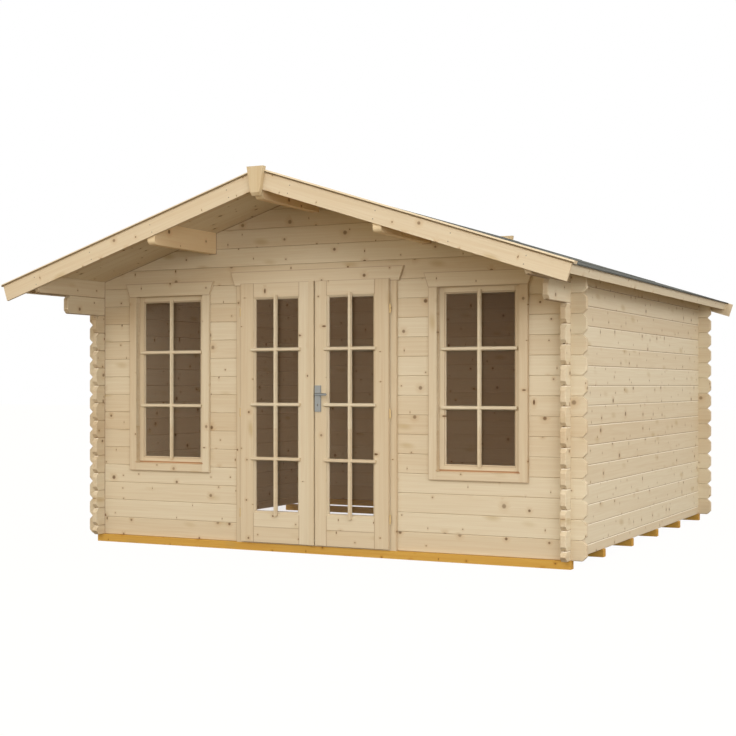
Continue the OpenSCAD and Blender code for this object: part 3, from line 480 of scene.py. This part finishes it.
def felt_finish(laps):
    """Grit is a fine two-tone noise, with broad weathering and a rough relief. Each sheet has its own tone,
    and a dark line of bitumen shows along its lower edge; laps are those edges' distances from the middle.
    Real grit is 1 mm, too fine to show, so it is drawn about 4 mm wide."""
    material, tree, shader = new_finish("grit_faced_felt")
    spot = add(tree, "TexCoord")["Object"]
    grit = add(tree, "TexNoise", links={"Vector": spot, "Scale": GRIT, "Detail": 2.0})[0]
    wash = add(tree, "TexNoise", links={"Vector": spot, "Scale": WASH, "Detail": 4.0})[0]
    tone = add(tree, "Math", wash, WASH_SHARE, grit, operation="MULTIPLY_ADD")[0]
    aside = add(tree, "VectorMath", spot, operation="ABSOLUTE")[0]
    across = add(tree, "SeparateXYZ", aside)[0]
    nearest = FAR_OFF
    for lap, change in zip(laps, SHEET_TONES):
        past = add(tree, "Math", across, lap, operation="GREATER_THAN")[0]
        tone = add(tree, "Math", past, change, tone, operation="MULTIPLY_ADD")[0]
        off = add(tree, "Math", across, lap + BLEED_OFF, operation="SUBTRACT")[0]
        off = add(tree, "Math", off, operation="ABSOLUTE")[0]
        nearest = add(tree, "Math", off, nearest, operation="MINIMUM")[0]
    bleed = add(tree, "MapRange", nearest, *BLEED, 0.0)[0]
    ramp = add(tree, "MapRange", tone, *FELT_RANGE, 0.0, 1.0)[0]
    mix = add(tree, "Mix", links={0: ramp, 6: linear("#3b3e3c"), 7: linear("#646862")}, data_type="RGBA")[2]
    mix = add(tree, "Mix", links={0: bleed, 6: mix, 7: linear("#242524")}, data_type="RGBA")[2]
    tree.links.new(mix, shader.inputs["Base Color"])
    bump = add(tree, "Bump", links={"Height": grit, "Strength": 0.6, "Distance": 0.001})[0]
    tree.links.new(bump, shader.inputs["Normal"])
    shader.inputs["Roughness"].default_value = 0.9
    return material


def lapped_sheets(side):
    """The sheets of one slope. Each is a profile of four points, down the slope and turned in at its foot,
    carried along the house; the foot sways by two sines of the place along it."""
    y = np.linspace(FELT_FRONT, FELT_BACK, FELT_STEPS) - MIDDLE_Y
    n = FELT_N + np.array(LAP_RISE)[:, None]
    points, faces, count = [], [], 0
    for top, foot in zip((FELT_TOP, *LAPS[:-1]), LAPS):
        s = np.array([top, foot - LAP_SLOPE, foot, foot])[:, None]
        sway = sum(size * np.sin(y * rate + foot * shift) for size, rate, shift in SWAYS)
        rows = on_slope(s + sway[None, :] * (s == foot), n, y[None, :], side)
        quads = strip_faces(len(s), len(y), count)
        faces += [quad[::-1] for quad in quads] if side > 0 else quads
        points.append(rows.reshape(-1, 3))
        count += len(s) * len(y)
    return np.concatenate(points), faces


felt = felt_finish([lap * math.cos(PITCH) + FELT_N * math.sin(PITCH) for lap in LAPS[:-1]])
dress(felt, "left_roof_felt", "right_roof_felt", "ridge_felt")
clout_y = np.linspace(CLOUT_FRONT, CLOUT_BACK, CLOUTS)[:, None] - MIDDLE_Y
clout_s = np.array([CLOUT_TOP, *[foot - CLOUT_UP for foot in LAPS]])
clout_n = FELT_N + np.array([CLOUT_TOP_SEAT, *[CLOUT_SEAT] * len(LAPS)])
for side, name in ((1, "right_felt_sheets"), (-1, "left_felt_sheets")):
    piece(name, *lapped_sheets(side), felt, "cabin", "roofing_felt")
    spots = on_slope(clout_s[None, :], clout_n[None, :], clout_y, side).reshape(-1, 3)
    out = (side * math.sin(PITCH), 0, math.cos(PITCH))
    piece(name.replace("sheets", "nails"), *heads(spots, out, *CLOUT), zinc, "cabin", "grey_steel")


# Window frames and casings: planed spruce boards round each window, nailed to the logs, with the head
# board cut wider towards its top. Uprights have the grain up and down, the others along the wall.
SASH_GAP = 0.569
casing = (WINDOW_X, WINDOW_HALF, WINDOW_HEAD + BEARER_H)
# Painted shadow lines run round the casing boards and along the gap under each sash.
foot_gap_shadow = outline((WINDOW_X - WINDOW_HALF, SASH_GAP), (WINDOW_X + WINDOW_HALF, SASH_GAP))
window_spruce = spruce("planed_spruce_window_casing", BARE, ALONG_X, UPWARD, BROAD_ROWS, uprights=casing,
                       seam_shadows=window_seam_shadows, gap_shadows=foot_gap_shadow, knots=0.6)
dress(window_spruce, "left_window_casing", "right_window_casing", "left_window_frame", "right_window_frame")


# Window sashes and beads: slim stiles and rails with mitred beads that hold the glass from both sides.
# A painted shadow line runs round the sash and round the beads, and along the gap at the sash's foot.
ANY_HEIGHT = 9.0
SASH_LIGHT = 0.2475
SASH_OUTER, SASH_INNER = (0.2977, 0.572, 1.8307), (0.2577, 0.604, 1.7927)
sash_seam_shadows = []
for half, low, top in (SASH_OUTER, SASH_INNER):
    left, right = WINDOW_X - half, WINDOW_X + half
    sash_seam_shadows += outline((left, low), (left, top), (right, top), (right, low), (left, low))
sash_spruce = spruce("planed_spruce_sash", BARE, ALONG_X, UPWARD, BROAD_ROWS,
                     uprights=(WINDOW_X, SASH_LIGHT, ANY_HEIGHT), seam_shadows=sash_seam_shadows, gap_shadows=foot_gap_shadow, knots=0.2)
dress(sash_spruce, "left_window_sash", "right_window_sash", "left_window_beads", "right_window_beads")


# Glass: clear float glass in the windows and doors, which lets the dim room show and shines a little.
# Its faint waver is about a third of a metre wide.
clear_glass, tree, shader = new_finish("clear_float_glass")
spot = add(tree, "TexCoord")["Object"]
waver = add(tree, "TexNoise", links={"Vector": spot, "Scale": 3.0, "Detail": 1.0})[0]
bump = add(tree, "Bump", links={"Height": waver, "Strength": 0.04, "Distance": 0.002})[0]
tree.links.new(bump, shader.inputs["Normal"])
# Its brown base colour, seen at a low alpha, is painted shade: it tints the glass like the dim room behind
# it, which also shows through.
shader.inputs["Base Color"].default_value = linear("#9e7c5b")
shader.inputs["Roughness"].default_value = 0.03
shader.inputs["IOR"].default_value = 1.5
shader.inputs["Alpha"].default_value = 0.13
dress(clear_glass, "left_window_glass", "right_window_glass", "left_door_glass", "right_door_glass")


# Window bars: moulded spruce bars in a cross, fixed over the outside of each sash. One stands in the
# middle and two lie across it.
SASH_FACE = 0.026
UPRIGHT_BAR, CROSS_BAR = (0.030, 0.0190), (0.026, 0.0185)
WINDOW_BAR_FOOT, WINDOW_BAR_TOP, WINDOW_BAR_REACH = 0.595, 1.808, 0.275
WINDOW_BAR_Z = (1.001, 1.405)


def moulded_bars(runs):
    """Carries a bar's profile, flat on top with hollowed edges, along each straight run. A run gives its
    start, its end, the bar's width and thickness; the bar stands out towards -Y from its start's y."""
    points, faces, count = [], [], 0
    for start, end, width, thick in runs:
        start, end = np.array(start, float), np.array(end, float)
        way = (end - start) / np.linalg.norm(end - start)
        out = np.array([0.0, -1.0, 0.0])
        wide = np.cross(way, out)
        a = width / 2 * np.array([-1, -1, -0.86, -0.62, -0.52, 0.52, 0.62, 0.86, 1, 1])
        b = thick * np.array([0, 0.45, 0.55, 0.86, 1, 1, 0.86, 0.55, 0.45, 0])
        ring = a[:, None] * wide + b[:, None] * out
        points += [start + ring, end + ring]
        n = len(a)
        faces += strip_faces(2, n, count, closed=True)
        faces += [list(range(count, count + n))[::-1], list(range(count + n, count + 2 * n))]
        count += 2 * n
    return np.concatenate(points), faces


def at(x, y, z):
    """A point given from the front wall's face and the bearers' top, moved to the part's frame."""
    return (x, y - MIDDLE_Y, z + BEARER_H)


bar_spruce = spruce("planed_spruce_bar", BARE, ALONG_X, UPWARD, BROAD_ROWS, knots=0.0)
for side, name in ((-1, "left_window_bars"), (1, "right_window_bars")):
    x = side * WINDOW_X
    left, right = x - WINDOW_BAR_REACH, x + WINDOW_BAR_REACH
    runs = [(at(x, SASH_FACE, WINDOW_BAR_FOOT), at(x, SASH_FACE, WINDOW_BAR_TOP), *UPRIGHT_BAR)]
    runs += [(at(left, SASH_FACE, z), at(right, SASH_FACE, z), *CROSS_BAR) for z in WINDOW_BAR_Z]
    piece(name, *moulded_bars(runs), bar_spruce, "cabin", "spruce")


# Door frame and casing: planed spruce boards as at the windows, nailed to the logs, with a threshold
# between the uprights.
# Painted shadow lines run along the casing's outer edges and round its head board.
door_casing = (0.0, DOOR_HALF, DOOR_HEAD + BEARER_H)
door_spruce = spruce("planed_spruce_door_casing", BARE, ALONG_X, UPWARD, BROAD_ROWS, uprights=door_casing,
                     seam_shadows=door_seam_shadows, knots=0.6)
dress(door_spruce, "door_frame", "door_casing")


# Door leaves: stiles that run the full height and rails between them, mitred beads round tall lights,
# and a strip along the meeting edge of the left leaf.
DOOR_X, DOOR_LIGHT, BEAD_W = 0.3015, 0.1895, 0.016
LEAF_EDGE, LEAF_FOOT, LEAF_TOP = 0.601, 0.010, 1.902
LIGHT_FOOT, LIGHT_TOP, RAIL_JOINT, RAIL_ROW = 0.222, 1.797, 0.122, 0.178
near, far = DOOR_X - DOOR_LIGHT, DOOR_X + DOOR_LIGHT
# Painted shadow lines run where the rails meet the stiles and along each leaf's top and outer edge.
leaf_seam_shadows = outline((near, RAIL_JOINT), (far, RAIL_JOINT))
leaf_seam_shadows += outline((0.0, LEAF_TOP), (LEAF_EDGE, LEAF_TOP), (LEAF_EDGE, LEAF_FOOT))
for x in (near, far):
    leaf_seam_shadows += outline((x, LIGHT_FOOT), (x, LEAF_FOOT)) + outline((x, LIGHT_TOP), (x, LEAF_TOP))
leaf_spruce = spruce("planed_spruce_leaf", BARE, ALONG_X, UPWARD, (0.0, RAIL_ROW),
                     uprights=(DOOR_X, DOOR_LIGHT, ANY_HEIGHT), seam_shadows=leaf_seam_shadows)
dress(leaf_spruce, "left_door_leaf", "right_door_leaf")
door_bead_spruce = spruce("planed_spruce_door_bead", BARE, ALONG_X, UPWARD, BROAD_ROWS,
                          uprights=(DOOR_X, DOOR_LIGHT - BEAD_W, ANY_HEIGHT), knots=0.0)
dress(door_bead_spruce, "left_door_beads", "right_door_beads")
strip_spruce = spruce("planed_spruce_strip", BARE, UPWARD, ALONG_X, (-0.5, 9.0), knots=0.1)
dress(strip_spruce, "meeting_strip")


# Door bars: moulded spruce bars like those on the windows, fixed over the outside of each leaf. One
# stands in the middle and three lie across it.
LEAF_FACE = -0.044
UPRIGHT_DOOR_BAR, CROSS_DOOR_BAR = (0.031, 0.0210), (0.026, 0.0205)
DOOR_BAR_FOOT, DOOR_BAR_TOP, DOOR_BAR_REACH = 0.206, 1.812, 0.204
DOOR_BAR_Z = (0.620, 1.015, 1.415)
for side, body in ((-1, "left_leaf"), (1, "right_leaf")):
    x = side * DOOR_X
    left, right = x - DOOR_BAR_REACH, x + DOOR_BAR_REACH
    runs = [(at(x, LEAF_FACE, DOOR_BAR_FOOT), at(x, LEAF_FACE, DOOR_BAR_TOP), *UPRIGHT_DOOR_BAR)]
    runs += [(at(left, LEAF_FACE, z), at(right, LEAF_FACE, z), *CROSS_DOOR_BAR) for z in DOOR_BAR_Z]
    piece(body.replace("leaf", "door_bars"), *moulded_bars(runs), bar_spruce, body, "spruce")


# Hinges, handle plates and lever: steel, the hinges yellow zinc-plated and the handle satin grey. Two
# screws hold each plate, one near each end.
PLATE_X, SCREW_Z, SCREW = 0.045, (0.979, 1.141), (0.0038, 0.0009)
steel = satin_steel("satin_grey_steel", "#73797c", "#989d9f")
dress(steel, "handle_plates", "door_lever")
yellow_zinc = satin_steel("yellow_zinc_steel", "#c9ae7c", "#dcc596")
dress(yellow_zinc, "hinge_pins", "left_hinge_sleeves", "right_hinge_sleeves")
for name, y, out in (("outer_plate_screws", -0.052, (0, -1, 0)), ("inner_plate_screws", 0.009, (0, 1, 0))):
    spots = [np.array(at(PLATE_X, y, z)) for z in SCREW_Z]
    piece(name, *heads(spots, out, *SCREW), steel, "right_leaf", "grey_steel")


# Floor, light and camera: a white floor that keeps a faint shadow, an even sky, three broad soft lamps
# in front and one at the right. The camera stands where the photograph was taken from.
WHITE = (1, 1, 1, 1)
FLOOR_HALF, FLOOR_SHARE, FLOOR_GLOW = 60, 0.75, 1.30
LAMP_W, LAMP_H = 7.0, 5.0
SKY_GLOW = 0.92
LENS_PIXELS, FRAME_PIXELS, SENSOR = 1388.01, 736, 36
CAMERA_X, CAMERA_Y, CAMERA_Z, CAMERA_TURN = 4.6857, -8.8162, 1.1529, 26.792


def seen_directly(tree):
    """One for rays from the camera, through glass or off shiny metal, which see plain white."""
    ray = add(tree, "LightPath")
    seen = add(tree, "Math", ray["Is Camera Ray"], ray["Is Transmission Ray"], operation="MAXIMUM")[0]
    return add(tree, "Math", seen, ray["Is Glossy Ray"], operation="MAXIMUM")[0]


floor_paint, tree = new_finish("white_floor")[:2]
tree.nodes.clear()
share = add(tree, "Math", seen_directly(tree), FLOOR_SHARE, operation="MULTIPLY")[0]
matt = add(tree, "BsdfDiffuse", links={"Color": linear("#6d5d42")})[0]
glow = add(tree, "Emission", links={"Color": WHITE, "Strength": FLOOR_GLOW})[0]
both = add(tree, "MixShader", share, matt, glow)[0]
add(tree, "OutputMaterial", links={"Surface": both})
ground = bpy.data.meshes.new("floor")
ground.from_pydata([(FLOOR_HALF * x, FLOOR_HALF * y, 0) for x, y in ((-1, -1), (1, -1), (1, 1), (-1, 1))],
                   [], [(0, 1, 2, 3)])
ground.materials.append(floor_paint)
floor = bpy.data.objects.new("floor", ground)
bpy.context.scene.collection.objects.link(floor)

world = bpy.data.worlds.new("studio")
bpy.context.scene.world = world
world.use_nodes = True
tree = world.node_tree
tree.nodes.clear()
sky = add(tree, "Background", links={"Color": linear("#fff4e2"), "Strength": SKY_GLOW})[0]
white = add(tree, "Background", links={"Color": WHITE, "Strength": 1.0})[0]
both = add(tree, "MixShader", seen_directly(tree), sky, white)[0]
add(tree, "OutputWorld", links={"Surface": both})

lamps = (("key_lamp", 420, "#ffffff", (0.5, -13.5, 8.3), (63, 0, 2)),
         ("fill_lamp", 420, "#ffffff", (9.0, -11.0, 2.2), (86, 0, 38)),
         ("low_lamp", 150, "#ffdca8", (-6.5, -12.0, 1.8), (90, 0, -30)),
         ("side_lamp", 500, "#ffffff", (15.5, -2.5, 7.0), (67, 0, 74)))
for name, energy, colour, spot, turn in lamps:
    lamp = bpy.data.lights.new(name, "AREA")
    lamp.shape = "RECTANGLE"
    lamp.size, lamp.size_y = LAMP_W, LAMP_H
    lamp.energy = energy
    lamp.color = linear(colour)[:3]
    softbox = bpy.data.objects.new(name, lamp)
    softbox.location = spot
    softbox.rotation_euler = [math.radians(angle) for angle in turn]
    bpy.context.scene.collection.objects.link(softbox)

lens = bpy.data.cameras.new("camera")
lens.sensor_width = SENSOR
lens.lens = LENS_PIXELS * SENSOR / FRAME_PIXELS
lens.shift_x = 0.0319
lens.shift_y = 0.0239
lens.clip_end = 200
camera = bpy.data.objects.new("camera", lens)
camera.location = at(CAMERA_X, CAMERA_Y, CAMERA_Z)
camera.rotation_euler = (math.radians(90), 0, math.radians(CAMERA_TURN))
bpy.context.scene.collection.objects.link(camera)
bpy.context.scene.camera = camera
bpy.context.scene.view_settings.view_transform = "Standard"
